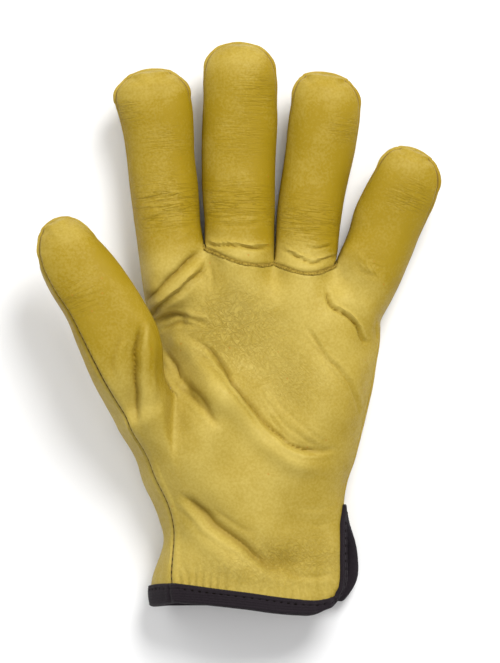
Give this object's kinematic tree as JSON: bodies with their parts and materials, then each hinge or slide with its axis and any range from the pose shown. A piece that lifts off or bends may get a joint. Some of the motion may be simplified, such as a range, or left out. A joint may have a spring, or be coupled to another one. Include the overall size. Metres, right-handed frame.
{
  "type": "cold protection glove",
  "caption": "Left leather driver's glove, palm up, with a wing thumb, seamed fingers, bound cuff and side vent.",
  "frame": {"origin": "centre of the glove's outline in plan, on the surface that its back lies on", "axes": "+Y from the cuff to the fingertips, +Z out of the palm, +X to the little finger's side"},
  "size_m": [0.1806, 0.258, 0.0578],
  "materials": {
    "leather": "smooth golden grain leather",
    "raw_edge": "raw golden-brown suede edge",
    "tape": "black ribbed knit tape",
    "fleece": "pinkish grey brushed lining"
  },
  "bodies": {
    "root": {"palm_panel": "leather", "back_panel": "leather", "middle_finger_front": "leather", "ring_finger_front": "leather", "knuckle_welt": "raw_edge", "cuff_binding": "tape", "cuff_lining": "fleece"}
  },
  "joints": []
}
